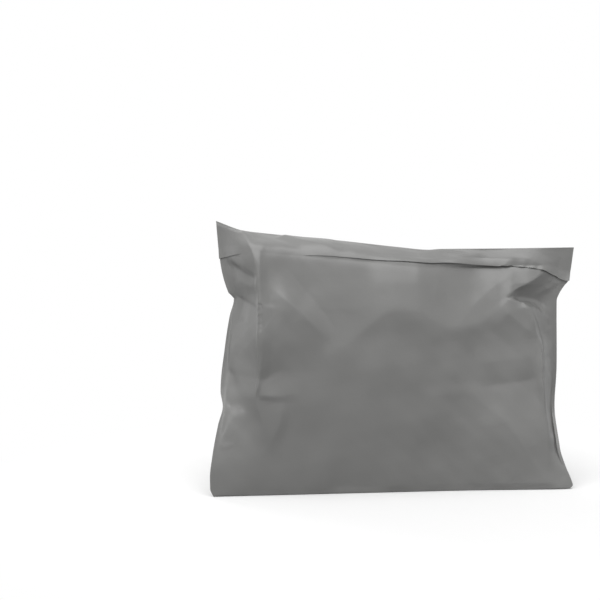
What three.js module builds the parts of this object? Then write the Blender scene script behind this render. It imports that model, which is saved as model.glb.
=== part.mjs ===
// A poly mailer bag: one piece of grey film, welded up both sides, filled, closed by its stuck-down
// flap and standing on its bottom. The whole bag is one closed solid, lofted across the bag from
// one weld to the other. Every section of the loft runs up the front panel, into the gap behind
// the flap's lip, round the lip, up the flap, over the top fold, down the back and along the foot.
//
// Millimetres. +X is to the right as the flap side is seen, +Y to the back, +Z up.
// The origin is on the floor, under the middle of the bag.
import * as THREE from "three";

// The bag.
const bagWidth = 376; // over both welds, at their widest
const bagHeight = 244; // floor to top fold, over the right half
const fillDepth = 76; // front to back where the contents are thickest
const footDepth = 58; // front to back where the bag stands
const footRadius = 5; // bend from the foot into each panel
const weldWidth = 4; // flat margin of each side weld
const weldThickness = 1.6; // both films of a weld, at the thickness a solid needs
const filmColour = 0x787876;

// The flap.
const flapLength = 38; // film from the top fold down to the free lip
const flapThickness = 1.2;
const lipTuck = 9; // how far the gap behind the lip runs up
const tuckGap = 0.4; // gap at its upper end, where the flap is stuck down

// How fine the loft is.
const columnCount = 66;
const frontRows = 36;
const flapRows = 7;
const backRows = 24;
const footRows = 3;
const crowding = 0.4; // how much closer the rows and columns stand at their ends

// Curves through stations [place, value]. They don't overshoot between stations.
function slopes(stations) {
  const rises = stations
    .slice(1)
    .map(([place, value], i) => (value - stations[i][1]) / (place - stations[i][0]));
  return stations.map((_, i) => {
    if (i === 0) return rises[0];
    if (i === rises.length) return rises[i - 1];
    const [before, after] = [rises[i - 1], rises[i]];
    return before * after <= 0 ? 0 : (2 * before * after) / (before + after);
  });
}

function curve(...stations) {
  const tilt = slopes(stations);
  const last = stations.length - 1;
  return (place) => {
    if (place <= stations[0][0]) return stations[0][1];
    if (place >= stations[last][0]) return stations[last][1];
    const i = stations.findIndex(([next]) => next > place) - 1;
    const [[p0, v0], [p1, v1]] = [stations[i], stations[i + 1]];
    const span = p1 - p0;
    const t = (place - p0) / span;
    return (
      v0 * (1 + 2 * t) * (1 - t) ** 2 +
      v1 * t ** 2 * (3 - 2 * t) +
      span * t * (1 - t) * (tilt[i] * (1 - t) - tilt[i + 1] * t)
    );
  };
}

const clamp = (value) => Math.min(1, Math.max(0, value));
const ease = (value) => clamp(value) ** 2 * (3 - 2 * clamp(value));

// Outline of the bag. Places up the bag are shares of its height, places across it shares of the
// way from the left weld to the right one, and values are millimetres.
const leftInset = curve(
  [0, 3.5], [0.03, 0.2], [0.07, 0], [0.15, 2.6], [0.26, 8.6], [0.325, 13.5], [0.375, 11.5],
  [0.54, 16.5], [0.65, 21.5], [0.713, 26], [0.737, 20.3], [0.845, 12.8], [1, 9],
);
const rightInset = curve(
  [0, 13], [0.015, 8.6], [0.045, 10.6], [0.09, 15], [0.17, 19.6], [0.24, 19.6], [0.5, 16.4],
  [0.776, 17.4], [0.805, 15], [0.84, 9.5], [0.86, 5.5], [1, 0.2],
);
const foldRise = curve(
  [0, 27], [0.07, 17.5], [0.12, 15], [0.33, 7.5], [0.5, 0.6], [0.585, -2.2], [0.62, -1.4],
  [0.8, -1], [1, 0],
);

// How far the top fold is bent back, and the share of the height from which the bend starts.
const foldSetBack = curve(
  [0, 20], [0.07, -5], [0.13, 0], [0.22, 3], [0.3, -1], [0.38, -4], [0.47, -4], [0.6, 0], [1, 0],
);
const setBackStart = 0.5;

// The turn from each weld to its ridge, where the full depth begins: the flat left beside the weld,
// and the ridge's distance from the side of the box. The left turn starts on a smooth line of its
// own, so that the notches of the outline don't run on into the film.
const leftTurnStart = curve(
  [0, 8], [0.07, 4], [0.15, 6.4], [0.26, 12.4], [0.34, 15.5], [0.54, 20.2], [0.65, 24],
  [0.713, 27.5], [0.76, 27], [0.845, 22], [0.93, 15], [1, 13],
);
const leftRidge = curve(
  [0, 60], [0.15, 64], [0.27, 53], [0.35, 46], [0.386, 44.5], [0.436, 46], [0.571, 50.5],
  [0.763, 49.6], [0.826, 48.8], [0.88, 49], [0.94, 52], [1, 62],
);
const rightFlat = curve([0, 0], [0.76, 0], [0.84, 5], [0.9, 11], [0.95, 9], [1, 6]);
const frontRightRidge = curve(
  [0, 36], [0.12, 34], [0.298, 36], [0.467, 38.5], [0.63, 41], [0.7, 48], [0.75, 57], [0.8, 67],
  [0.84, 58], [0.9, 40], [0.93, 40], [1, 80],
);
const backRightRidge = curve(
  [0, 36], [0.12, 34], [0.47, 38], [0.63, 40], [0.78, 46], [0.86, 42], [0.93, 46], [1, 66],
);

// Form of each turn: under 1 is hollow, 1 a straight slope and 2 a quarter circle. Near the fold
// the turns run out softly at both ends, by a share that grows with the height.
const leftRoundness = curve([0, 1.3], [0.3, 1.03], [0.5, 0.97], [0.8, 0.97], [0.88, 1.1], [1, 1.3]);
const frontRightRoundness = curve(
  [0, 1.3], [0.3, 1.03], [0.55, 0.98], [0.64, 0.95], [0.72, 0.92], [0.86, 0.92], [1, 1.2],
);
const backRightRoundness = curve([0, 1.3], [0.3, 1.06], [0.7, 1.03], [0.85, 1.15], [1, 1.3]);
const turnSoftness = curve([0, 0], [0.85, 0], [0.93, 0.7], [1, 1]);

// Share of the way to the front panel's edge that each weld runs forward, down to its bottom corner.
const leftForward = curve(
  [0, 1], [0.12, 0.9], [0.22, 0.7], [0.3, 0.42], [0.335, 0.26], [0.42, 0.05], [0.5, 0], [1, 0],
);
const rightForward = curve([0, 1], [0.1, 0.75], [0.2, 0.35], [0.3, 0.05], [0.35, 0], [1, 0]);

// The shoulder of each panel, over the contents, and how far it leans in above that for each
// millimetre of height. The lean dies away over the last of the film below the fold.
const frontShoulder = curve(
  [0, 0.63], [0.1, 0.63], [0.2, 0.59], [0.29, 0.575], [0.34, 0.6], [0.4, 0.67], [0.45, 0.73],
  [0.489, 0.75], [0.55, 0.751], [0.612, 0.704], [0.673, 0.675], [0.717, 0.682], [0.761, 0.723],
  [0.806, 0.755], [0.85, 0.8], [1, 0.8],
);
const frontLean = curve(
  [0, 0.05], [0.2, 0.06], [0.3, 0.09], [0.5, 0.23], [0.7, 0.17], [0.9, 0.13], [1, 0.13],
);
const backShoulder = curve([0, 0.7], [1, 0.7]);
const backLean = curve([0, 0.14], [0.5, 0.18], [1, 0.14]);
const shoulderRadius = 3;
const leanFade = 40;

// The right end is less filled: there the front leans in all the way up from the foot, for each
// millimetre of height, and its bottom corner stands forward.
const slackLean = curve([0, 0], [0.62, 0], [0.8, 0.075], [1, 0.09]);
const cornerBulge = { place: [0.97, 0], reach: [110, 120], depth: 5, sharpness: 1.2 };

// How far the lip lies below the fold, as a share of the flap's length, and how far it stands off
// the front panel. The flap hangs flat at both ends and lies over the full bag between them.
const lipDrop = curve(
  [0, 1], [0.02, 0.86], [0.047, 0.68], [0.07, 0.57], [0.1, 0.52], [0.17, 0.5], [0.3, 0.42],
  [0.42, 0.4], [0.52, 0.34], [0.62, 0.36], [0.72, 0.41], [0.84, 0.49], [0.9, 0.56], [0.95, 0.74],
  [0.985, 0.88], [1, 0.9],
);
const lipLift = curve(
  [0, 0.8], [0.06, 0.5], [0.24, 0.5], [0.42, 0.9], [0.5, 0.8], [0.6, 1.5], [0.66, 3], [0.8, 3],
  [0.85, 0.7], [0.915, 1.8], [0.97, 1.2], [1, 1.8],
);

// Half of the bag's section at its fullest, from the edge of the foot to the top fold.
const halfFill = fillDepth / 2;
const halfFoot = footDepth / 2;
const profile = new THREE.SplineCurve(
  [
    [halfFoot - footRadius, 0],
    [halfFoot - footRadius / 4, footRadius / 4],
    [halfFoot, footRadius],
    [(halfFoot + halfFill) / 2, 0.16 * bagHeight],
    [halfFill, 0.42 * bagHeight],
    [halfFill, 0.66 * bagHeight],
    [0.99 * halfFill, 0.8 * bagHeight],
    [0.965 * halfFill, 0.88 * bagHeight],
    [0.9 * halfFill, 0.93 * bagHeight],
    [0.74 * halfFill, 0.96 * bagHeight],
    [0.4 * halfFill, 0.983 * bagHeight],
    [0, bagHeight],
  ].map(([depth, height]) => new THREE.Vector2(depth, height)),
);
const profileLength = profile.getLength();

// Creases of the film, each a line of places [across, up] with how far it stands out (mm, in is
// negative) and how wide it spreads to its left and right, as walked from its first place. Its ends
// are the shares of its length over which it dies away, and some spread wider as they go.
const frontCreases = {
  flapRidge: {
    line: [[0.067, 1], [0.078, 0.964], [0.088, 0.929], [0.097, 0.874], [0.099, 0.81]],
    out: 2.4, spread: [9, 13], ends: [0.05, 0.12],
  },
  leftRidge: {
    line: [[0.099, 0.85], [0.089, 0.763], [0.097, 0.571], [0.097, 0.436], [0.094, 0.38]],
    out: 1.2, spread: [9, 8], ends: [0.1, 0.1],
  },
  longFold: {
    line: [[0.1, 0.822], [0.165, 0.723], [0.25, 0.635], [0.34, 0.55]],
    out: 4.6, spread: [19, 26], ends: [0.16, 0.5],
  },
  underLeftLip: { line: [[0.01, 0.86], [0.098, 0.822]], out: -2.8, spread: [8, 11], ends: [0.25, 0.3] },
  flapPatch: { line: [[0.17, 1], [0.34, 0.955]], out: 2, spread: [44, 14], ends: [0.1, 0.3] },
  pinchCrest: {
    line: [[0.93, 0.885], [0.87, 0.83], [0.819, 0.79]],
    out: 1.2, spread: [9, 14], ends: [0.4, 0.2],
  },
  cheek: {
    line: [[0.805, 0.768], [0.86, 0.7], [0.93, 0.62]],
    out: 2.8, spread: [26, 24], ends: [0.25, 0.35],
  },
  rightRidge: {
    line: [[0.89, 0.755], [0.932, 0.63], [0.934, 0.467], [0.951, 0.298]],
    out: 1.2, spread: [8, 9], ends: [0.15, 0.2],
  },
  leftLobe: { line: [[0.6, 0.97], [0.6, 0.73]], out: 1.2, spread: [30, 44], ends: [0.4, 0.5] },
  rightLobe: { line: [[0.66, 0.67], [0.84, 0.93]], out: 1.5, spread: [30, 30], ends: [0.45, 0.3] },
  slackLine: { line: [[0.721, 0.7], [0.735, 0.4]], out: -2.2, spread: [48, 14], ends: [0.35, 0.2] },
  slackCrease: { line: [[0.72, 0.425], [0.93, 0.459]], out: -3.4, spread: [30, 60], ends: [0.35, 0.15] },
  cornerSweep: {
    line: [[0.7, 0.46], [0.8, 0.37], [0.85, 0.3], [0.921, 0.15], [0.95, 0.02]],
    out: 3.6, spread: [44, 90], ends: [0.34, 0.5], widen: [0.7, 1],
  },
  leftPucker: {
    line: [[0.098, 0.39], [0.16, 0.39], [0.24, 0.41]],
    out: 1.6, spread: [26, 8], ends: [0.1, 0.8], widen: [0.3, 1],
  },
  lowerFold: {
    line: [[0.167, 0.38], [0.17, 0.302], [0.156, 0.224], [0.13, 0.12]],
    out: 3.2, spread: [8, 15], ends: [0.25, 0.5],
  },
  leftNip: {
    line: [[0.002, 0.33], [0.03, 0.336], [0.07, 0.35]],
    out: -2.6, spread: [7, 7], ends: [0.02, 0.8],
  },
  nipTail: {
    line: [[0.04, 0.345], [0.026, 0.27], [0.014, 0.2]],
    out: 1.4, spread: [9, 11], ends: [0.3, 0.4],
  },
  gussetFold: {
    line: [[0.055, 0.79], [0.03, 0.67], [0.045, 0.55]],
    out: -2, spread: [9, 10], ends: [0.3, 0.4],
  },
};
const backCreases = {
  leftRidge: { line: [[0.1, 0.86], [0.09, 0.6], [0.11, 0.3]], out: 2.4, spread: [12, 14] },
  rightRidge: { line: [[0.91, 0.84], [0.92, 0.55], [0.9, 0.25]], out: 2.4, spread: [14, 12] },
  leftPull: { line: [[0.06, 0.88], [0.17, 0.76], [0.3, 0.7]], out: 3.4, spread: [20, 14] },
  rightPull: { line: [[0.95, 0.86], [0.85, 0.73], [0.74, 0.69]], out: 3, spread: [14, 22] },
  leftNip: { line: [[0.01, 0.34], [0.08, 0.36], [0.16, 0.4]], out: -3.4, spread: [9, 9] },
  rightNip: { line: [[0.99, 0.3], [0.9, 0.34], [0.83, 0.33]], out: -3, spread: [9, 9] },
  slack: { line: [[0.3, 0.6], [0.5, 0.55], [0.68, 0.62]], out: -1.6, spread: [26, 22] },
  lowerSweep: { line: [[0.07, 0.05], [0.16, 0.2], [0.27, 0.3]], out: 2.6, spread: [22, 26] },
};
const creaseSharpness = 1.15; // 1 is a tent of flat sides, 2 a sharper crest with hollow sides
const creaseEnds = [0.22, 0.22]; // ends of a crease that names none of its own
const smoothAtFoot = 12; // film kept free of creases next to the foot
const smoothAtFold = 6; // and next to the top fold
const creaseRoom = 3; // depth of bag at which a crease reaches its full height

// Shares from one to another, evenly spaced or crowded towards both ends.
const evenly = (from, to, count) =>
  Array.from({ length: count + 1 }, (_, i) => from + ((to - from) * i) / count);
const crowded = (from, to, count) =>
  evenly(0, 2 * Math.PI, count).map(
    (turn) => from + ((to - from) * (turn - crowding * Math.sin(turn))) / (2 * Math.PI),
  );

// The place along the profile at a height.
const profileSteps = 600;
const profileHeights = evenly(0, 1, profileSteps).map((along) => profile.getPointAt(along).y);
function alongAt(height) {
  const i = Math.max(1, profileHeights.findIndex((next) => next >= height));
  const [before, after] = [profileHeights[i - 1], profileHeights[i]];
  return (i - 1 + (height - before) / (after - before)) / profileSteps;
}

// A place of a panel measured over its film: how far across the bag, and how far along from the foot.
const edges = (up) => [leftInset(up) - bagWidth / 2, bagWidth / 2 - rightInset(up)];
function onFilm([across, up]) {
  const [left, right] = edges(up);
  return new THREE.Vector2(left + across * (right - left), alongAt(up * bagHeight) * profileLength);
}

// A crease laid out over the film, ready to be asked how far it moves it at (x, walk).
function laidOut({ line, out, spread, ends: [start, finish] = creaseEnds, widen: [first, last] = [1, 1] }) {
  const points = line.map(onFilm);
  const lengths = points.slice(1).map((p, i) => p.distanceTo(points[i]));
  const whole = lengths.reduce((sum, length) => sum + length, 0);
  return (x, walk) => {
    let nearest = { off: Infinity, walked: 0, onLeft: false };
    let walked = 0;
    lengths.forEach((length, i) => {
      const [a, b] = [points[i], points[i + 1]];
      const [runX, runY] = [(b.x - a.x) / length, (b.y - a.y) / length];
      const t = Math.min(length, Math.max(0, (x - a.x) * runX + (walk - a.y) * runY));
      const [offX, offY] = [x - a.x - t * runX, walk - a.y - t * runY];
      const off = Math.hypot(offX, offY);
      if (off < nearest.off)
        nearest = { off, walked: walked + t, onLeft: runX * offY - runY * offX > 0 };
      walked += length;
    });
    const share = nearest.walked / whole;
    const wide = spread[nearest.onLeft ? 0 : 1] * (first + (last - first) * share);
    const reach = clamp(1 - nearest.off / wide);
    return out * reach ** creaseSharpness * ease(share / start) * ease((1 - share) / finish);
  };
}

// How much further forward the bottom corner's bulge brings the front panel.
function bulgeAt(x, walk) {
  const middle = onFilm(cornerBulge.place);
  const [across, along] = cornerBulge.reach;
  const near = clamp(1 - Math.hypot((x - middle.x) / across, (walk - middle.y) / along));
  return cornerBulge.depth * near ** cornerBulge.sharpness;
}

// Share of the full depth at a distance from the start of a turn.
function turned(distance, width, roundness, softness) {
  const left = 1 - clamp(distance / width);
  const plain = (1 - left ** roundness) ** (1 / roundness);
  return plain + (ease(distance / width) - plain) * softness;
}

// One panel of film: side is -1 for the front and +1 for the back. Places along it are shares of
// the profile's length, from the foot to the top fold.
function panel({ side, ridge, roundness, shoulder, lean, slack, bulge, creases }) {
  const folds = Object.values(creases).map(laidOut);
  return (across, along) => {
    const { x: fullDepth, y: height } = profile.getPointAt(along);
    const walk = along * profileLength;
    const up = height / bagHeight;
    const [left, right] = edges(up);
    const x = left + across * (right - left);
    const z = up * (bagHeight + foldRise(across));

    const fromLeft = x + bagWidth / 2 - leftTurnStart(up);
    const fromRight = right - x - weldWidth - rightFlat(up);
    const rightWidth = ridge(up) - rightInset(up) - weldWidth - rightFlat(up);
    const turn =
      turned(fromLeft, leftRidge(up) - leftTurnStart(up), leftRoundness(up), turnSoftness(up)) *
      turned(fromRight, rightWidth, roundness(up), turnSoftness(up));

    const overShoulder = (up - shoulder(across)) * bagHeight;
    const leaning = (Math.hypot(overShoulder, shoulderRadius) + overShoulder) / 2;
    const leanedIn = lean(across) * leaning + slack(across) * height;
    const underFold = clamp((profileLength - walk) / leanFade);
    const depth = Math.max(0, fullDepth + bulge(x, walk) - leanedIn * underFold);

    const offWelds = ease((x - left - weldWidth) / weldWidth) * ease((right - weldWidth - x) / weldWidth);
    const offEnds = ease(height / smoothAtFoot) * ease((profileLength - walk) / smoothAtFold);
    const held = offWelds * offEnds * clamp((depth * turn) / creaseRoom);
    const creased = held * folds.reduce((sum, fold) => sum + fold(x, walk), 0);

    const setBack = foldSetBack(across) * ease((up - setBackStart) / (1 - setBackStart));
    const forwardShare = leftForward(up) + ease(across) * (rightForward(up) - leftForward(up));
    const forward = depth * (1 - turn) * forwardShare;
    const off = Math.max(0, depth * turn + creased) + weldThickness / 2;
    return new THREE.Vector3(x, setBack - forward + side * off, z);
  };
}
const front = panel({
  side: -1,
  ridge: frontRightRidge,
  roundness: frontRightRoundness,
  shoulder: frontShoulder,
  lean: frontLean,
  slack: slackLean,
  bulge: bulgeAt,
  creases: frontCreases,
});
const back = panel({
  side: 1,
  ridge: backRightRidge,
  roundness: backRightRoundness,
  shoulder: backShoulder,
  lean: backLean,
  slack: () => 0,
  bulge: () => 0,
  creases: backCreases,
});

// A point of the front panel moved off it, square to the film in the column's own plane.
function offFront(across, along, gap) {
  const reach = 0.006;
  const lower = front(across, Math.max(0, along - reach));
  const upper = front(across, Math.min(1, along + reach));
  const run = new THREE.Vector2(upper.y - lower.y, upper.z - lower.z).normalize();
  const point = front(across, along);
  return new THREE.Vector3(point.x, point.y - gap * run.y, point.z + gap * run.x);
}

// One section of the loft: a closed loop of points, in the same order at every column.
function section(across) {
  const drop = flapLength * lipDrop(across);
  const lip = alongAt(bagHeight * (1 - drop / (bagHeight + foldRise(across))));
  const tuck = lip + lipTuck / profileLength;
  const lift = lipLift(across);
  const panelPoints = crowded(0, tuck, frontRows).map((along) => front(across, along));
  const innerLip = [
    offFront(across, tuck, tuckGap),
    offFront(across, (tuck + lip) / 2, (tuckGap + lift) / 2),
    offFront(across, lip, lift),
  ];
  const flap = evenly(lip, 1, flapRows).map((along) => {
    const stuck = clamp((along - lip) / (tuck - lip));
    return offFront(across, along, flapThickness + lift + (tuckGap - lift) * stuck);
  });
  const behind = crowded(1, 0, backRows).map((along) => back(across, along));
  behind[0].z += flapThickness;
  const heel = behind[backRows];
  const toe = panelPoints[0];
  const foot = evenly(0, 1, footRows).slice(1, -1).map((t) => heel.clone().lerp(toe, t));
  return [...panelPoints, ...innerLip, ...flap, ...behind, ...foot];
}

// Triangles that close the strip between two chains of loop points, both walked upwards.
function zipped(loop, near, far) {
  const faces = [];
  let [i, j] = [0, 0];
  while (i < near.length - 1 || j < far.length - 1) {
    const nearNext = i < near.length - 1 ? loop[near[i + 1]].z : Infinity;
    const farNext = j < far.length - 1 ? loop[far[j + 1]].z : Infinity;
    if (nearNext <= farNext) faces.push([near[i], near[++i], far[j]]);
    else faces.push([near[i], far[j + 1], far[j++]]);
  }
  return faces;
}

// The flat end of the loft at the outer edge of a weld: the two films, then the flap's own end.
function endFaces(loop) {
  const run = (from, to) => Array.from({ length: to - from + 1 }, (_, i) => from + i);
  const stuckPoint = frontRows + 1;
  const firstOnFlap = stuckPoint + 3;
  const fold = firstOnFlap + flapRows;
  const overTuck = run(firstOnFlap, fold).find((i) => loop[i].z > loop[stuckPoint].z);
  const behind = run(fold + 1, loop.length - 1).reverse();
  const outside = [...run(0, stuckPoint), ...run(overTuck, fold)];
  const hookInside = run(stuckPoint, firstOnFlap - 1).reverse();
  return [
    ...zipped(loop, outside, behind),
    ...zipped(loop, run(firstOnFlap, overTuck), hookInside),
  ];
}

// The film bag: the loft's sections joined side by side, and closed at the outer edge of each weld.
function filmBag() {
  const loops = crowded(0, 1, columnCount).map(section);
  const loopLength = loops[0].length;
  const corner = (column, point) => column * loopLength + (point % loopLength);
  const faces = [];
  for (let column = 0; column < columnCount; column++)
    for (let point = 0; point < loopLength; point++) {
      const [a, b] = [corner(column, point), corner(column + 1, point)];
      const [c, d] = [corner(column + 1, point + 1), corner(column, point + 1)];
      faces.push(a, b, c, a, c, d);
    }
  for (const [a, b, c] of endFaces(loops[0])) faces.push(a, b, c);
  for (const [a, b, c] of endFaces(loops[columnCount]))
    faces.push(corner(columnCount, a), corner(columnCount, c), corner(columnCount, b));
  const positions = loops.flat().flatMap(({ x, y, z }) => [x, y, z]);
  const geometry = new THREE.BufferGeometry()
    .setAttribute("position", new THREE.Float32BufferAttribute(positions, 3))
    .setIndex(faces);
  geometry.computeBoundingBox();
  const middle = geometry.boundingBox.getCenter(new THREE.Vector3());
  geometry.translate(-middle.x, -middle.y, 0);
  geometry.computeVertexNormals();
  return geometry;
}

const film = new THREE.MeshStandardMaterial({ color: filmColour, roughness: 0.42, metalness: 0 });
const bag = new THREE.Mesh(filmBag(), film);
bag.name = "mailer_bag";

const mailer = new THREE.Group();
mailer.add(bag);

export default mailer;
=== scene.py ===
import math
import bpy
import numpy as np
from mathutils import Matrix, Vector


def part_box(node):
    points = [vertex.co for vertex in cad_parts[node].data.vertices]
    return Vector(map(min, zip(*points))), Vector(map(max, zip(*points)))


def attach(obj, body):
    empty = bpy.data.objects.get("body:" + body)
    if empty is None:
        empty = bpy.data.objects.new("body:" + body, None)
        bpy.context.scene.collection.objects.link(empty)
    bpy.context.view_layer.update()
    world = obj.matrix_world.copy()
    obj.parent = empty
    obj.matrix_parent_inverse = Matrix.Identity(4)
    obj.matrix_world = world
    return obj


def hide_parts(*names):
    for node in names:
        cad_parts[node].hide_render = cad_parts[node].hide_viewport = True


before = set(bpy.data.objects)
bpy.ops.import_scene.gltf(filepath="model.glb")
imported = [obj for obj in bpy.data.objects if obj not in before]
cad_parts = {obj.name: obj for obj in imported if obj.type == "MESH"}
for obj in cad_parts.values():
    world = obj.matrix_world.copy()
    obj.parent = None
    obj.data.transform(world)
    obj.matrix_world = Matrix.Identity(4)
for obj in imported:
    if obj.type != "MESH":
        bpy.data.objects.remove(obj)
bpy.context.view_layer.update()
lowCorner, highCorner = (np.array(corner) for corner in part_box("mailer_bag"))
print("frame loaded")

mm = 0.001

# The filled bag. Places across run from the left weld (0) to the right one (1), places up are
# shares of the height, and lengths are millimetres.
bagForm = {
    "foldCorner": 28.2,        # how far the left corner of the fold stands over the right half
    "fillDepth": 76.0,
    "footDepth": 58.0,
    "footRadius": 4.0,
    "lowBelly": 0.16,          # half way from the foot's depth to the fill's, as a share of the height
    "sideProfile": [           # from there up, shares of half the fill's depth and of the height
        (1, 0.42), (1, 0.66), (0.99, 0.8), (0.965, 0.88), (0.9, 0.93), (0.74, 0.96), (0.4, 0.983), (0, 1)],
    "profileSteps": 60,
    "sharpAngle": 60,          # edges that turn more than this, in degrees, are shaded sharp
    "weldWidth": 3.5,
    "weldThickness": 0.7,
    "flapLength": 38.0,
    "flapThickness": 0.35,
    "lipTuck": 9.0,            # how far the gap behind the lip runs up
    "tuckGap": 0.1,
    "lipSealed": 0.3,          # the lip shows all its thickness from this far off the front
    "setBackStart": 0.5,       # the fold's set back begins this high
    "rimStart": 0.984,         # and its roll this high
    "backShoulder": 0.7,
    "pinchReach": 48.0,        # how far from the right side the pinch under the flap hangs lower
    "sideShare": 0.045,        # share of the width, at each side, that the places of the lean leave out
    "setForward": 2.1,         # how far the film stands in front of the middle of the solid's box
    "columns": 256,
    "frontRows": 178,
    "innerRows": 4,
    "flapRows": 34,
    "backRows": 112,
    "footRows": 8,
    "crowding": 0.4,           # how much closer rows stand at their ends
    "flapCrowding": 1.15,      # and at the flap's lip
    "columnRush": [(0.095, 0.02, 2.6), (0.93, 0.03, 2.2)],     # ridge place, reach and extra columns
}
bagWidth = (highCorner[0] - lowCorner[0]) / mm
bagHeight = (highCorner[2] - lowCorner[2]) / mm - bagForm["foldCorner"]


def curveThrough(*stations):   # smooth between stations, and never past them
    places, values = np.array(stations, float).T
    rises = np.diff(values) / np.diff(places)
    tilts = np.concatenate([rises[:1], np.zeros(len(rises) - 1), rises[-1:]])
    before, after = rises[:-1], rises[1:]
    turning = before * after <= 0
    tilts[1:-1] = np.where(turning, 0, 2 * before * after / np.where(turning, 1, before + after))

    def read(place):
        place = np.clip(place, places[0], places[-1])
        i = np.clip(np.searchsorted(places, place, side="right") - 1, 0, len(places) - 2)
        span = places[i + 1] - places[i]
        t = (place - places[i]) / span
        ends = values[i] * (1 + 2 * t) * (1 - t) ** 2 + values[i + 1] * t ** 2 * (3 - 2 * t)
        return ends + span * t * (1 - t) * (tilts[i] * (1 - t) - tilts[i + 1] * t)

    return read


def ease(value):
    value = np.clip(value, 0, 1)
    return value ** 2 * (3 - 2 * value)


leftInset = curveThrough(
    (0, 3.5), (0.03, 0.2), (0.07, 0), (0.15, 2.6), (0.26, 8.6), (0.325, 13.5), (0.375, 11.5),
    (0.54, 16.5), (0.65, 21.5), (0.713, 26), (0.737, 20.3), (0.845, 12.8), (1, 9))
leftGuide = curveThrough(      # the same without its notch, for placing creases
    (0, 3.5), (0.03, 0.2), (0.07, 0), (0.15, 2.6), (0.26, 8.6), (0.4, 13), (0.54, 16.8), (0.66, 19.4),
    (0.75, 18.5), (0.845, 12.8), (1, 9))
rightInset = curveThrough(
    (0, 13), (0.015, 8.6), (0.045, 10.6), (0.09, 15), (0.17, 19.6), (0.24, 19.6), (0.5, 16.4),
    (0.776, 17.4), (0.805, 15), (0.84, 9.5), (0.86, 5.5), (1, 0.2))
foldRise = curveThrough(
    (0, 27), (0.07, 17.5), (0.12, 15), (0.33, 7.5), (0.5, 0.6), (0.585, -2.2), (0.62, -1.4),
    (0.8, -1), (1, 0))
foldSetBack = curveThrough(
    (0, 20), (0.07, -5), (0.13, 0), (0.22, 3), (0.3, -1), (0.38, -4), (0.47, -4), (0.6, 0), (1, 0))

# Each side turns from its weld to a ridge: where the turn starts and where the ridge stands, both in
# from the side of the box, how round the turn is (1 is straight, under 1 hollow), and how much the
# weld runs forward towards the bottom corner (1 brings it all the way to the front).
leftTurnStart = curveThrough(
    (0, 8), (0.07, 4), (0.15, 6.4), (0.26, 12.4), (0.34, 15.5), (0.54, 20.2), (0.65, 24), (0.713, 27.5),
    (0.76, 27), (0.845, 22), (0.93, 15), (1, 13))
leftRidgeAt = curveThrough(
    (0, 60), (0.15, 64), (0.27, 53), (0.35, 46), (0.386, 44.5), (0.436, 46), (0.571, 50.5), (0.763, 49.6),
    (0.826, 48.8), (0.88, 49), (0.94, 52), (1, 62))
rightRidgeAt = curveThrough(
    (0, 36), (0.12, 34), (0.298, 36), (0.467, 38.5), (0.63, 40), (0.7, 47), (0.78, 56),
    (0.796, 75), (0.808, 73), (0.9, 38), (0.93, 40), (1, 80))
leftForward = curveThrough(
    (0, 1), (0.1, 0.9), (0.2, 0.72), (0.3, 0.48), (0.4, 0.22), (0.5, 0.06), (0.58, 0), (1, 0))
rightForward = curveThrough((0, 1), (0.08, 0.94), (0.16, 0.74), (0.24, 0.4), (0.32, 0.1), (0.4, 0), (1, 0))
pinchSag = curveThrough(       # how much lower the pinch lies at the right weld than at the ridge
    (0, 0), (0.52, 0), (0.65, 0.1), (0.73, 0.075), (0.83, 0), (1, 0))
rightFlat = curveThrough((0, 0), (0.76, 0), (0.84, 5), (0.9, 11), (0.95, 9), (1, 6))
leftRoundness = curveThrough((0, 1.3), (0.3, 1.03), (0.5, 0.97), (0.8, 0.97), (0.88, 1.1), (1, 1.3))
rightRoundness = curveThrough(
    (0, 1.3), (0.3, 1.03), (0.55, 0.98), (0.64, 0.93), (0.72, 0.9), (0.8, 0.84), (0.86, 0.88), (1, 1.2))
backRidgeAt = curveThrough(
    (0, 36), (0.12, 34), (0.47, 38), (0.63, 40), (0.78, 46), (0.86, 42), (0.93, 46), (1, 66))
backRoundness = curveThrough((0, 1.3), (0.3, 1.06), (0.7, 1.03), (0.85, 1.15), (1, 1.3))
turnSoftness = curveThrough((0, 0), (0.85, 0), (0.93, 0.7), (1, 1))    # rounds the turns at the flap

# Above its shoulder the front leans back, by this much for each millimetre of height.
shoulder = curveThrough(
    (0, 0.63), (0.1, 0.63), (0.2, 0.59), (0.29, 0.575), (0.34, 0.6), (0.4, 0.67), (0.45, 0.73),
    (0.489, 0.75), (0.55, 0.751), (0.612, 0.704), (0.655, 0.682), (0.7, 0.684), (0.75, 0.706),
    (0.806, 0.752), (0.85, 0.8), (1, 0.8))
frontLean = curveThrough(
    (0, 0.05), (0.2, 0.06), (0.3, 0.09), (0.5, 0.27), (0.7, 0.27), (0.82, 0.28), (0.9, 0.18), (1, 0.12))
# The less filled right end leans back all the way up: how much, by the place across, and how it grows.
slackLean = curveThrough((0, 0), (0.52, 0), (0.84, 0.09), (1, 0.1))
slackRise = curveThrough(
    (0, 0), (0.08, 0.16), (0.25, 0.43), (0.45, 0.64), (0.68, 0.88), (0.78, 0.91), (1, 0.92))
backLean = curveThrough((0, 0.14), (0.5, 0.18), (1, 0.14))
rimRoll = curveThrough((0, 2.4), (0.07, 2.2), (0.09, 0), (1, 0))       # the fold rolls back at its left end

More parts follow.
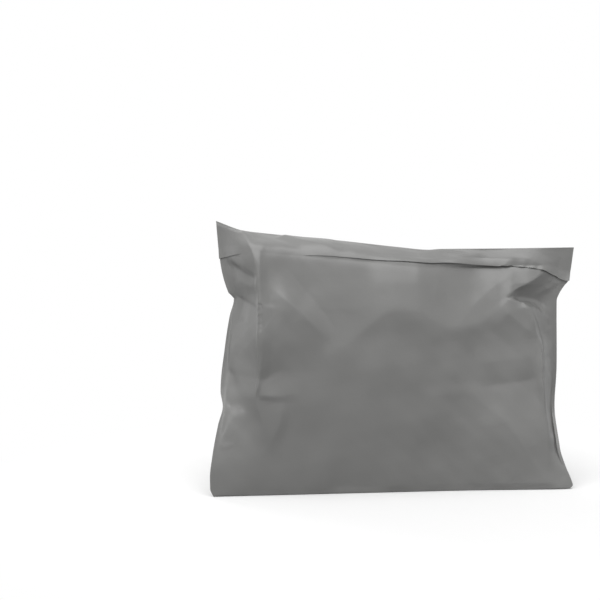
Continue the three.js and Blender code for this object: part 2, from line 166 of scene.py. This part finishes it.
lipDrop = curveThrough(        # share of the flap's length that the lip lies below the fold
    (0, 1), (0.02, 0.86), (0.047, 0.68), (0.07, 0.57), (0.1, 0.52), (0.17, 0.5), (0.3, 0.42), (0.42, 0.4),
    (0.52, 0.34), (0.62, 0.36), (0.72, 0.41), (0.84, 0.49), (0.9, 0.56), (0.95, 0.74),
    (0.985, 0.88), (1, 0.9))
lipLift = curveThrough(        # how far the lip stands off the front
    (0, 1), (0.045, 0.7), (0.06, 0), (0.22, 0), (0.25, 0.4), (0.32, 0.6), (0.42, 0.9), (0.5, 0.8),
    (0.6, 1.5), (0.66, 3.4), (0.8, 3.4), (0.83, 0.4), (0.85, 1.4), (0.865, 0.3), (0.88, 1.2),
    (0.895, 0.3), (0.915, 1.8), (0.94, 1.6), (0.97, 1.6), (1, 3))

# Creases, each a line of places (across, up), how far it stands out (in is negative) and how wide
# it spreads to its left and right, as walked from its first place.
frontCreases = {
    "flapRidge": dict(line=[(0.067, 1), (0.078, 0.964), (0.088, 0.929), (0.097, 0.874), (0.099, 0.81)],
                      out=1.2, spread=(8, 4), ends=(0.02, 0.12)),
    "leftRidge": dict(line=[(0.099, 0.85), (0.089, 0.763), (0.097, 0.571), (0.097, 0.436), (0.094, 0.38)],
                      out=1.5, spread=(9, 2.4), ends=(0.1, 0.1)),
    "longFold": dict(line=[(0.1, 0.825), (0.2, 0.71), (0.3, 0.595)],
                     out=7.2, spread=(22, 90), ends=(0.45, 0.46), widen=(1.3, 0.5), sharpness=1),
    "foldBack": dict(line=[(0.125, 0.9), (0.18, 0.82), (0.235, 0.72)],
                     out=-1, spread=(26, 14), ends=(0.3, 0.3)),
    "underLeftLip": dict(line=[(0.01, 0.86), (0.098, 0.822)], out=-2.2, spread=(5, 9), ends=(0.25, 0.3)),
    "flapPatch": dict(line=[(0.17, 1), (0.34, 0.955)], out=2, spread=(44, 14), ends=(0.1, 0.3)),
    "pinchCrest": dict(line=[(0.93, 0.885), (0.87, 0.83), (0.819, 0.79)],
                       out=0.4, spread=(9, 14), ends=(0.4, 0.2)),
    "pinchHollow": dict(line=[(0.84, 0.785), (0.88, 0.792), (0.94, 0.78), (0.985, 0.73)],
                        out=-4.5, spread=(15, 9), ends=(0.25, 0.3)),
    "pinchStreak": dict(line=[(0.985, 0.86), (0.925, 0.8)], out=1, spread=(5, 5)),
    "rightRidge": dict(line=[(0.89, 0.755), (0.932, 0.63), (0.934, 0.467), (0.951, 0.298)],
                       out=1.2, spread=(4, 5), ends=(0.15, 0.2)),
    "leftLobe": dict(line=[(0.6, 0.97), (0.6, 0.73)],
                     out=1.2, spread=(30, 44), ends=(0.4, 0.5), sharpness=1.4),
    "rightLobe": dict(line=[(0.66, 0.67), (0.84, 0.93)], out=0.9, spread=(30, 14), ends=(0.3, 0.3)),
    "slackLine": dict(line=[(0.721, 0.7), (0.735, 0.4)], out=-1.6, spread=(38, 60), ends=(0.35, 0.2)),
    "slackCrease": dict(line=[(0.72, 0.425), (0.82, 0.44), (0.93, 0.459)],
                        out=-3.2, spread=(24, 38), ends=(0.35, 0.15)),
    "cornerSweep": dict(line=[(0.7, 0.42), (0.79, 0.33), (0.86, 0.23), (0.91, 0.11), (0.93, 0)],
                        out=4.6, spread=(50, 90), ends=(0.34, 0.55), widen=(0.7, 1)),
    "leftPucker": dict(line=[(0.098, 0.39), (0.16, 0.39), (0.24, 0.41)],
                       out=1.6, spread=(24, 9), ends=(0.1, 0.8), widen=(0.3, 1)),
    "puckerHollow": dict(line=[(0.1, 0.43), (0.135, 0.475), (0.19, 0.5)],
                         out=-1, spread=(16, 8), ends=(0.2, 0.6), widen=(0.4, 1)),
    "lowerFold": dict(line=[(0.167, 0.38), (0.17, 0.302), (0.156, 0.224), (0.13, 0.12)],
                      out=1.6, spread=(8, 18), ends=(0.3, 0.6), widen=(0.8, 1.6)),
    "leftNip": dict(line=[(0.002, 0.33), (0.03, 0.336), (0.07, 0.35)],
                    out=-1.5, spread=(5, 10), ends=(0.02, 0.8)),
    "nipTail": dict(line=[(0.05, 0.35), (0.036, 0.28), (0.016, 0.2)],
                    out=1.2, spread=(14, 10), ends=(0.3, 0.5)),
    "gussetFold": dict(line=[(0.055, 0.79), (0.03, 0.67), (0.045, 0.55)],
                       out=-2, spread=(9, 10), ends=(0.3, 0.4)),
    "gussetTuck": dict(line=[(0.01, 0.47), (0.03, 0.42), (0.036, 0.37)],
                       out=-1.6, spread=(6, 7), ends=(0.3, 0.4)),
    "cheek": dict(line=[(0.805, 0.768), (0.86, 0.7), (0.93, 0.62)],
                  out=2.2, spread=(26, 24), ends=(0.25, 0.35)),
}
frontSwells = {                # soft rises and hollows: place, reach across and along, and depth
    "rightCorner": dict(place=(0.97, 0), reach=(110, 120), out=5.5),
}
backCreases = {
    "leftRidge": dict(line=[(0.1, 0.86), (0.09, 0.6), (0.11, 0.3)], out=1.8, spread=(9, 5)),
    "rightRidge": dict(line=[(0.91, 0.84), (0.92, 0.55), (0.9, 0.25)], out=1.8, spread=(5, 9)),
    "leftPull": dict(line=[(0.07, 0.87), (0.16, 0.77), (0.29, 0.7)], out=4, spread=(22, 50),
                     ends=(0.3, 0.45), widen=(1.1, 0.6), sharpness=1),
    "rightPull": dict(line=[(0.94, 0.85), (0.85, 0.74), (0.74, 0.68)], out=4, spread=(50, 20),
                      ends=(0.3, 0.45), widen=(1, 0.6), sharpness=1),
    "leftNip": dict(line=[(0.01, 0.34), (0.08, 0.36), (0.16, 0.4)],
                    out=-3, spread=(16, 6), ends=(0.1, 0.6)),
    "leftPucker": dict(line=[(0.1, 0.4), (0.17, 0.43), (0.24, 0.42)],
                       out=1.6, spread=(26, 8), ends=(0.1, 0.7)),
    "rightNip": dict(line=[(0.99, 0.3), (0.91, 0.33), (0.83, 0.32)],
                     out=-3, spread=(6, 16), ends=(0.1, 0.6)),
    "sag": dict(line=[(0.3, 0.62), (0.46, 0.55), (0.56, 0.56), (0.68, 0.64)], out=-2.4, spread=(40, 22),
                ends=(0.35, 0.35), sharpness=1),
    "lowerSweep": dict(line=[(0.08, 0.04), (0.15, 0.18), (0.27, 0.3)], out=3.4, spread=(60, 22),
                       ends=(0.2, 0.5), sharpness=1),
    "lowerFold": dict(line=[(0.86, 0.06), (0.8, 0.2), (0.81, 0.32)],
                      out=2, spread=(8, 22), ends=(0.3, 0.5)),
    "slackLine": dict(line=[(0.36, 0.82), (0.4, 0.68), (0.38, 0.5)],
                      out=1.6, spread=(14, 44), ends=(0.4, 0.5)),
}
creaseForm = {
    "sharpness": 1.15,         # 1 is a tent of flat sides, 2 a sharper crest with hollow sides
    "fade": 0.22,              # share of a crease's length over which each end dies away
    "lineSteps": 5,            # between two places of a crease's line
    "crestRadius": 0.5,
    "swellSharpness": 1.2,
    "shoulderRadius": 3.0,
    "leanFade": 40.0,          # the lean dies away over this length below the fold
    "smoothAtFoot": 8.0,
    "smoothAtFold": 4.0,
    "seed": 7,
    "roomNeeded": 2.0,         # creases are lower where the film stands less than this off the welds' plane
    "roomBehind": 1.0,         # and die away this far behind it
    "puckersPerWeld": 26,      # short gathers that run in from each weld
    "puckerPlaces": (0.04, 0.97),
    "puckerStart": 0.006,
    "puckerLength": (7.0, 20.0),
    "puckerLean": (0.02, 0.1),
    "puckerDepth": (0.12, 0.4),
    "puckerSpread": (2.5, 7.0),
    "puckerSkew": (0.7, 1.6),  # the spread on its other side, as a share
    "calmBelow": 0.4,          # puckers below this share of the height are half as deep
    "rippleSizes": (70.0, 38.0, 19.0),
    "rippleDepths": (0.45, 0.22, 0.07),
    "wavesPerSize": 5,
    "waveStretch": (0.8, 1.3),
}


def roundedLine(points, before, after, perSpan):   # smooth through all points; before and after set its ends
    padded = np.vstack([before, points, after])
    steps = np.linspace(0, 1, perSpan, endpoint=False)[:, None]
    spans = []
    for p0, p1, p2, p3 in zip(padded, padded[1:], padded[2:], padded[3:]):
        v0, v1 = (p2 - p0) / 2, (p3 - p1) / 2
        cubic = (2 * p1 - 2 * p2 + v0 + v1) * steps ** 3 + (3 * p2 - 3 * p1 - 2 * v0 - v1) * steps ** 2
        spans.append(cubic + v0 * steps + p1)
    return np.vstack(spans + [points[-1:]])


def profileTable():            # half section of the full bag: share of its length, depth, height
    halfFill = bagForm["fillDepth"] / 2
    halfFoot = bagForm["footDepth"] / 2
    bend = bagForm["footRadius"]
    corners = np.array([
        (halfFoot - bend, 0), (halfFoot - bend / 4, bend / 4), (halfFoot, bend),
        ((halfFoot + halfFill) / 2, bagForm["lowBelly"] * bagHeight),
        *[(depth * halfFill, height * bagHeight) for depth, height in bagForm["sideProfile"]]])
    points = roundedLine(corners, corners[0], corners[-1], bagForm["profileSteps"])
    walked = np.concatenate([[0], np.cumsum(np.hypot(*np.diff(points, axis=0).T))])
    return walked / walked[-1], points[:, 0], points[:, 1], walked[-1]


profileShare, profileDepth, profileHeight, profileLength = profileTable()


def turned(distance, width, roundness, softness):   # 0 where a turn starts, 1 at its ridge and beyond
    left = 1 - np.clip(distance / width, 0, 1)
    plain = (1 - left ** roundness) ** (1 / roundness)
    return plain + (ease(distance / width) - plain) * softness


def onFilm(across, up):        # millimetres over the film: across it, and along it from the foot
    left = leftGuide(up) - bagWidth / 2
    right = bagWidth / 2 - rightInset(up)
    along = np.interp(up * bagHeight, profileHeight, profileShare)
    return left + across * (right - left), along * profileLength


def creaseAmount(crease, x, s):    # how far a crease lifts the film at places x, s on it
    places = np.array(crease["line"], float)
    before, after = 2 * places[0] - places[1], 2 * places[-1] - places[-2]
    lineX, lineS = onFilm(*roundedLine(places, before, after, creaseForm["lineSteps"]).T)
    nearest = np.full(x.shape, 1e9)
    walkedAt = np.zeros(x.shape)
    onLeft = np.zeros(x.shape, bool)
    walked = 0.0
    for fromX, fromS, toX, toS in zip(lineX, lineS, lineX[1:], lineS[1:]):
        length = math.hypot(toX - fromX, toS - fromS)
        runX, runS = (toX - fromX) / length, (toS - fromS) / length
        t = np.clip((x - fromX) * runX + (s - fromS) * runS, 0, length)
        offX, offS = x - fromX - t * runX, s - fromS - t * runS
        off = np.hypot(offX, offS)
        closer = off < nearest
        nearest = np.where(closer, off, nearest)
        walkedAt = np.where(closer, walked + t, walkedAt)
        onLeft = np.where(closer, runX * offS - runS * offX > 0, onLeft)
        walked += length
    radius = creaseForm["crestRadius"]
    rounded = np.sqrt(nearest ** 2 + radius ** 2) - radius
    leftSpread, rightSpread = crease["spread"]
    fadeIn, fadeOut = crease.get("ends", (creaseForm["fade"],) * 2)
    first, last = crease.get("widen", (1, 1))
    share = walkedAt / walked
    wide = first + (last - first) * share
    reach = np.clip(1 - rounded / (wide * np.where(onLeft, leftSpread, rightSpread)), 0, 1)
    return (crease["out"] * reach ** crease.get("sharpness", creaseForm["sharpness"])
            * ease(share / fadeIn) * ease((1 - share) / fadeOut))


def swellAmount(swell, x, s):
    middleX, middleS = onFilm(*swell["place"])
    reachX, reachS = swell["reach"]
    near = np.clip(1 - np.hypot((x - middleX) / reachX, (s - middleS) / reachS), 0, 1)
    return swell["out"] * near ** creaseForm["swellSharpness"]


def seamPuckers(draw):         # short gathers that run in from both welds
    puckers = {}
    for weld in (0, 1):
        for number in range(creaseForm["puckersPerWeld"]):
            up = draw.uniform(*creaseForm["puckerPlaces"])
            inward = draw.uniform(*creaseForm["puckerLength"]) / bagWidth
            start = creaseForm["puckerStart"]
            lean = draw.uniform(*creaseForm["puckerLean"]) * draw.choice([-1, 1])
            first, last = (start, start + inward) if weld == 0 else (1 - start, 1 - start - inward)
            depth = draw.uniform(*creaseForm["puckerDepth"]) * draw.choice([-1, 1])
            if up < creaseForm["calmBelow"]:
                depth /= 2
            spread = draw.uniform(*creaseForm["puckerSpread"])
            puckers[f"pucker{weld}_{number}"] = dict(
                line=[(first, up), ((first + last) / 2, up + lean / 3), (last, up + lean)],
                out=depth, spread=(spread, spread * draw.uniform(*creaseForm["puckerSkew"])))
    return puckers


def ripples(x, s, draw):       # slow waves of slack film
    total = np.zeros(x.shape)
    for size, depth in zip(creaseForm["rippleSizes"], creaseForm["rippleDepths"]):
        for _ in range(creaseForm["wavesPerSize"]):
            heading = draw.uniform(0, 2 * math.pi)
            phase = draw.uniform(0, 2 * math.pi)
            wave = 2 * math.pi / (size * draw.uniform(*creaseForm["waveStretch"]))
            total += depth / 2 * np.sin(wave * (x * math.cos(heading) + s * math.sin(heading)) + phase)
    return total


class FilmPanel:               # one panel of film: side is -1 for the front and 1 for the back
    def __init__(self, side, creases, swells, seed):
        self.side = side
        self.swells = swells
        draw = np.random.default_rng(seed)
        self.creases = {**creases, **seamPuckers(draw)}
        self.rippleSeed = seed + 100

    def turnAt(self, up, x, right):    # 0 at both welds, 1 on the face between the ridges
        if self.side < 0:
            ridgeAt, roundness = rightRidgeAt, rightRoundness
            sagged = up + pinchSag(up) * ease(1 - (right - x) / bagForm["pinchReach"])
        else:
            ridgeAt, roundness, sagged = backRidgeAt, backRoundness, up
        weld, softness = bagForm["weldWidth"], turnSoftness(up)
        fromLeft = x + bagWidth / 2 - leftTurnStart(up)
        fromRight = right - x - weld - rightFlat(up)
        leftWidth = leftRidgeAt(up) - leftTurnStart(up)
        rightWidth = ridgeAt(sagged) - rightInset(up) - weld - rightFlat(up)
        return (turned(fromLeft, leftWidth, leftRoundness(up), softness)
                * turned(fromRight, rightWidth, roundness(sagged), softness))

    def leanAt(self, up, x):           # how far the panel leans in, above its shoulder and where slack
        margin = bagForm["sideShare"]
        place = np.clip((x / bagWidth + 0.5 - margin) / (1 - 2 * margin), 0, 1)
        if self.side < 0:
            over, lean = (up - shoulder(place)) * bagHeight, frontLean(place)
            slack = slackLean(place) * slackRise(up) * bagHeight
        else:
            over, lean = (up - bagForm["backShoulder"]) * bagHeight, backLean(place)
            slack = 0
        over = (np.sqrt(over ** 2 + creaseForm["shoulderRadius"] ** 2) + over) / 2
        return lean * over + slack

    def plain(self, across, along):    # the filled form without its creases, and how much crease it takes
        depth = np.interp(along, profileShare, profileDepth)
        height = np.interp(along, profileShare, profileHeight)
        up = height / bagHeight
        left = leftInset(up) - bagWidth / 2
        right = bagWidth / 2 - rightInset(up)
        x = left + across * (right - left)
        z = up * (bagHeight + foldRise(across))
        toFold = (1 - along) * profileLength
        for swell in self.swells.values():
            depth = depth + swellAmount(swell, x, along * profileLength)
        depth = depth - self.leanAt(up, x) * np.clip(toFold / creaseForm["leanFade"], 0, 1)
        turn = self.turnAt(up, x, right)
        toRight = ease(across)
        forward = depth * (1 - turn) * (leftForward(up) * (1 - toRight) + rightForward(up) * toRight)
        backStart, rimStart = bagForm["setBackStart"], bagForm["rimStart"]
        setBack = foldSetBack(across) * ease((up - backStart) / (1 - backStart))
        setBack = setBack + rimRoll(across) * ease((up - rimStart) / (1 - rimStart))
        y = setBack - forward + self.side * (depth * turn + bagForm["weldThickness"] / 2)
        weld, behind = bagForm["weldWidth"], creaseForm["roomBehind"]
        offWelds = ease((x - left - weld) / weld) * ease((right - weld - x) / weld)
        offEnds = ease(height / creaseForm["smoothAtFoot"]) * ease(toFold / creaseForm["smoothAtFold"])
        room = np.clip((depth * turn + behind) / (creaseForm["roomNeeded"] + behind), 0, 1)
        return np.stack([x, y, z], -1), offWelds * offEnds * room

    def facing(self, across, along):   # which way the plain film faces
        reach = 0.0015
        up, _ = self.plain(across, np.clip(along + reach, 0, 1))
        down, _ = self.plain(across, np.clip(along - reach, 0, 1))
        right, _ = self.plain(np.clip(across + reach, 0, 1), along)
        left, _ = self.plain(np.clip(across - reach, 0, 1), along)
        normal = np.cross(right - left, up - down) * -self.side
        return normal / np.maximum(np.linalg.norm(normal, axis=-1, keepdims=True), 1e-9)

    def creased(self, across, along):
        points, hold = self.plain(across, along)
        x, s = points[..., 0], along * profileLength
        amount = ripples(x, s, np.random.default_rng(self.rippleSeed))
        for crease in self.creases.values():
            amount += creaseAmount(crease, x, s)
        normal = self.facing(across, along)
        return points + normal * (hold * amount)[..., None], normal


def evenly(first, last, count):
    return first + (last - first) * np.linspace(0, 1, count + 1)


def crowded(first, last, count):
    turn = np.linspace(0, 2 * math.pi, count + 1)
    return first + (last - first) * (turn - bagForm["crowding"] * np.sin(turn)) / (2 * math.pi)


def columnPlaces():            # columns stand closer along both ridges
    fine = np.linspace(0, 1, 2001)
    density = 1 + sum(
        extra * ease(1 - abs(fine - place) / reach) for place, reach, extra in bagForm["columnRush"])
    counted = np.concatenate([[0], np.cumsum((density[1:] + density[:-1]) / 2)])
    return np.interp(evenly(0, counted[-1], bagForm["columns"]), counted, fine)


def loopGrid():                # one closed loop of points for each column, foot to foot
    front = FilmPanel(-1, frontCreases, frontSwells, creaseForm["seed"])
    back = FilmPanel(1, backCreases, {}, creaseForm["seed"] + 1)
    across = columnPlaces()[None, :]
    drop = bagForm["flapLength"] * lipDrop(across)
    lip = np.interp(bagHeight * (1 - drop / (bagHeight + foldRise(across))), profileHeight, profileShare)
    tuck = lip + bagForm["lipTuck"] / profileLength
    lift = lipLift(across)

    def wide(rows):
        return np.broadcast_to(across, rows.shape)

    frontAlong = crowded(0, 1, bagForm["frontRows"])[:, None] * tuck
    frontPoints, _ = front.creased(wide(frontAlong), frontAlong)
    innerShare = evenly(1, 0, bagForm["innerRows"])[:, None]
    innerAlong = lip + innerShare * (tuck - lip)
    innerPoints, innerFacing = front.creased(wide(innerAlong), innerAlong)
    innerGap = lift + (bagForm["tuckGap"] - lift) * innerShare
    innerPoints = innerPoints + innerFacing * innerGap[..., None]
    flapAlong = lip + evenly(0, 1, bagForm["flapRows"])[:, None] ** bagForm["flapCrowding"] * (1 - lip)
    flapPoints, flapFacing = front.creased(wide(flapAlong), flapAlong)
    stuck = np.clip((flapAlong - lip) / (tuck - lip), 0, 1)
    thickness = bagForm["flapThickness"] * ease(lift / bagForm["lipSealed"] + stuck)
    flapGap = thickness + lift + (bagForm["tuckGap"] - lift) * stuck
    flapPoints = flapPoints + flapFacing * flapGap[..., None]
    backAlong = crowded(1, 0, bagForm["backRows"])[:, None] + 0 * across
    backPoints, _ = back.creased(wide(backAlong), backAlong)
    backPoints[0, :, 2] += bagForm["flapThickness"]
    share = evenly(0, 1, bagForm["footRows"])[1:-1, None, None]
    footPoints = backPoints[-1] * (1 - share) + frontPoints[0] * share
    return np.concatenate([frontPoints, innerPoints, flapPoints, backPoints, footPoints])


def zipped(heights, near, far):    # closes the strip between two chains, both walked upwards
    faces = []
    i = j = 0
    while i < len(near) - 1 or j < len(far) - 1:
        nearNext = heights[near[i + 1]] if i < len(near) - 1 else math.inf
        farNext = heights[far[j + 1]] if j < len(far) - 1 else math.inf
        if nearNext <= farNext:
            faces.append((near[i], near[i + 1], far[j]))
            i += 1
        else:
            faces.append((near[i], far[j + 1], far[j]))
            j += 1
    return faces


def endFaces(heights):         # the cut edge of a weld: both films, then the flap's own end
    stuckPoint = bagForm["frontRows"] + 1
    firstOnFlap = stuckPoint + bagForm["innerRows"] + 1
    fold = firstOnFlap + bagForm["flapRows"]
    overTuck = next(i for i in range(firstOnFlap, fold + 1) if heights[i] > heights[stuckPoint])
    behind = list(range(len(heights) - 1, fold, -1))
    outside = list(range(stuckPoint + 1)) + list(range(overTuck, fold + 1))
    hookInside = list(range(firstOnFlap - 1, stuckPoint - 1, -1))
    hookOutside = list(range(firstOnFlap, overTuck + 1))
    return zipped(heights, outside, behind) + zipped(heights, hookOutside, hookInside)


def makeBag():
    grid = loopGrid()
    points, columns, _ = grid.shape
    middle = (grid.min((0, 1)) + grid.max((0, 1))) / 2
    grid[..., 0] += (lowCorner[0] + highCorner[0]) / 2 / mm - middle[0]
    grid[..., 1] += (lowCorner[1] + highCorner[1]) / 2 / mm - middle[1] - bagForm["setForward"]
    corner = np.arange(points * columns).reshape(points, columns)
    after = np.roll(corner, -1, 0)
    walls = np.stack([corner[:, :-1], corner[:, 1:], after[:, 1:], after[:, :-1]], -1).reshape(-1, 4)
    faces = walls.tolist()
    leftEnd, rightEnd = corner[:, 0], corner[:, -1]
    faces += [tuple(int(leftEnd[i]) for i in face) for face in endFaces(grid[:, 0, 2])]
    faces += [tuple(int(rightEnd[i]) for i in face[::-1]) for face in endFaces(grid[:, -1, 2])]
    mesh = bpy.data.meshes.new("mailer_film")
    mesh.from_pydata((grid.reshape(-1, 3) * mm).tolist(), [], faces)
    mesh.polygons.foreach_set("use_smooth", [True] * len(mesh.polygons))
    mesh.set_sharp_from_angle(angle=math.radians(bagForm["sharpAngle"]))
    bag = bpy.data.objects.new("mailer_film", mesh)
    bpy.context.scene.collection.objects.link(bag)
    print("film mesh:", len(mesh.vertices), "points,", len(mesh.polygons), "faces")
    return bag


class Socket:                  # a shader value that takes part in Python expressions
    def __init__(self, tree, output):
        self.tree = tree
        self.output = output

    def combine(self, operation, first, second):
        return addNode(self.tree, "ShaderNodeMath", {"operation": operation}, {0: first, 1: second})[0]

    def __add__(self, other): return self.combine("ADD", self, other)
    def __radd__(self, other): return self.combine("ADD", other, self)
    def __sub__(self, other): return self.combine("SUBTRACT", self, other)
    def __rsub__(self, other): return self.combine("SUBTRACT", other, self)
    def __mul__(self, other): return self.combine("MULTIPLY", self, other)
    def __rmul__(self, other): return self.combine("MULTIPLY", other, self)
    def orLarger(self, other): return self.combine("MAXIMUM", self, other)


def addNode(tree, kind, settings=None, inputs=None):   # settings first, then values or links
    node = tree.nodes.new(kind)
    for name, value in (settings or {}).items():
        setattr(node, name, value)
    for name, value in (inputs or {}).items():
        if isinstance(value, Socket):
            tree.links.new(value.output, node.inputs[name])
        else:
            node.inputs[name].default_value = value
    return [Socket(tree, output) for output in node.outputs]


filmFinish = {
    "grey": (0.168, 0.168, 0.164, 1),
    "paleGrey": (0.185, 0.185, 0.181, 1),
    "roughness": 0.3,
    "roughnessSpread": 0.08,
    "ior": 1.5,
    "cloudScale": 18.3333,     # per metre, as the two below
    "crinkleScale": 130,
    "grainScale": 1400,
    "crinkleDepth": 0.00012,
    "grainDepth": 0.00001,
}


def greyFilm():
    material = bpy.data.materials.new("grey film")
    material.use_nodes = True
    tree = material.node_tree
    shader = tree.nodes["Principled BSDF"]
    place = addNode(tree, "ShaderNodeTexCoord")[3]     # places on the object itself
    cloud = addNode(tree, "ShaderNodeTexNoise", {}, {
        "Vector": place, "Scale": filmFinish["cloudScale"], "Detail": 3.0})[0]
    crinkle = addNode(tree, "ShaderNodeTexNoise", {}, {
        "Vector": place, "Scale": filmFinish["crinkleScale"], "Detail": 2.0, "Roughness": 0.6})[0]
    grain = addNode(tree, "ShaderNodeTexNoise", {}, {
        "Vector": place, "Scale": filmFinish["grainScale"], "Detail": 1.0})[0]
    tone = addNode(tree, "ShaderNodeMix", {"data_type": "RGBA"}, {
        0: cloud, 6: filmFinish["grey"], 7: filmFinish["paleGrey"]})[2]
    roughness = filmFinish["roughness"] + (cloud - 0.5) * filmFinish["roughnessSpread"]
    height = crinkle * filmFinish["crinkleDepth"] + grain * filmFinish["grainDepth"]
    bump = addNode(tree, "ShaderNodeBump", {}, {"Strength": 1.0, "Distance": 1.0, "Height": height})[0]
    tree.links.new(tone.output, shader.inputs["Base Color"])
    tree.links.new(roughness.output, shader.inputs["Roughness"])
    tree.links.new(bump.output, shader.inputs["Normal"])
    shader.inputs["IOR"].default_value = filmFinish["ior"]
    return material


bag = makeBag()
bag.data.materials.append(greyFilm())
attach(bag, "root")
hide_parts("mailer_bag")
print("film bag in place")

studio = {
    "cameraPlace": (-0.2133, -1.1198, 0.2686),
    "cameraHeading": 6.0,      # degrees to the right of straight on
    "cameraDrop": 3.9,         # degrees below level
    "cameraLens": 67.2,
    "worldLevel": 0.5,         # as it lights the bag; it is seen and reflected as white
    "floorTone": 0.8,          # as the camera sees it
    "floorBounce": 0.4,        # as it lights the bag
    "floorSize": 3.0,
    "clearFrom": 0.27,         # between these distances the floor turns to plain white
    "clearRadius": 0.45,
}


def makeCamera():
    data = bpy.data.cameras.new("camera")
    data.lens = studio["cameraLens"]
    camera = bpy.data.objects.new("camera", data)
    camera.location = studio["cameraPlace"]
    tilt, heading = math.radians(90 - studio["cameraDrop"]), math.radians(-studio["cameraHeading"])
    camera.rotation_euler = (tilt, 0, heading)
    bpy.context.scene.collection.objects.link(camera)
    bpy.context.scene.camera = camera


lights = {                     # level, degrees across, heading (0 is the front) and height in degrees
    "overhead": dict(level=2.8, across=75, heading=-22, height=60),
    "leftFill": dict(level=0.14, across=10, heading=-52, height=10),
    "backFill": dict(level=0.45, across=30, heading=208, height=35),
}


def makeFloor():
    half = studio["floorSize"] / 2
    corners = [(-half, -half, 0), (half, -half, 0), (half, half, 0), (-half, half, 0)]
    mesh = bpy.data.meshes.new("floor")
    mesh.from_pydata(corners, [], [(0, 1, 2, 3)])
    floor = bpy.data.objects.new("floor", mesh)
    bpy.context.scene.collection.objects.link(floor)
    material = bpy.data.materials.new("white floor")
    material.use_nodes = True
    tree = material.node_tree
    tree.nodes.clear()
    place = addNode(tree, "ShaderNodeTexCoord")[3]     # places on the object itself
    distance = addNode(tree, "ShaderNodeVectorMath", {"operation": "LENGTH"}, {0: place})[1]
    far = addNode(tree, "ShaderNodeMapRange", {"clamp": True, "interpolation_type": "SMOOTHSTEP"}, {
        "Value": distance, "From Min": studio["clearFrom"], "From Max": studio["clearRadius"]})[0]
    seen = addNode(tree, "ShaderNodeLightPath")[0]
    tone, bounce = ((*[studio[name]] * 3, 1) for name in ("floorTone", "floorBounce"))
    shade = addNode(tree, "ShaderNodeMix", {"data_type": "RGBA"}, {0: seen, 6: bounce, 7: tone})[2]
    lit = addNode(tree, "ShaderNodeBsdfDiffuse", {}, {"Color": shade})[0]
    white = addNode(tree, "ShaderNodeEmission", {}, {"Color": (1, 1, 1, 1), "Strength": 1.0})[0]
    surface = addNode(tree, "ShaderNodeMixShader", {}, {0: far * seen, 1: lit, 2: white})[0]
    addNode(tree, "ShaderNodeOutputMaterial", {}, {"Surface": surface})
    mesh.materials.append(material)


def makeLight():
    world = bpy.data.worlds.new("studio")
    world.use_nodes = True
    tree = world.node_tree
    tree.nodes.clear()
    rays = addNode(tree, "ShaderNodeLightPath")
    seen, glossy, transmitted = rays[0], rays[3], rays[6]      # the camera's rays, reflections, clear things
    clear = seen.orLarger(glossy).orLarger(transmitted)
    level = studio["worldLevel"] + clear * (1 - studio["worldLevel"])
    background = addNode(tree, "ShaderNodeBackground", {}, {"Color": (1, 1, 1, 1), "Strength": level})[0]
    addNode(tree, "ShaderNodeOutputWorld", {}, {"Surface": background})
    bpy.context.scene.world = world
    for name, light in lights.items():
        data = bpy.data.lights.new(name, "SUN")
        data.energy = light["level"]
        data.angle = math.radians(light["across"])
        lamp = bpy.data.objects.new(name, data)
        lamp.rotation_euler = (math.radians(90 - light["height"]), 0, math.radians(light["heading"]))
        bpy.context.scene.collection.objects.link(lamp)


makeCamera()
makeFloor()
makeLight()
bpy.context.scene.view_settings.view_transform = "Standard"
print("studio in place")
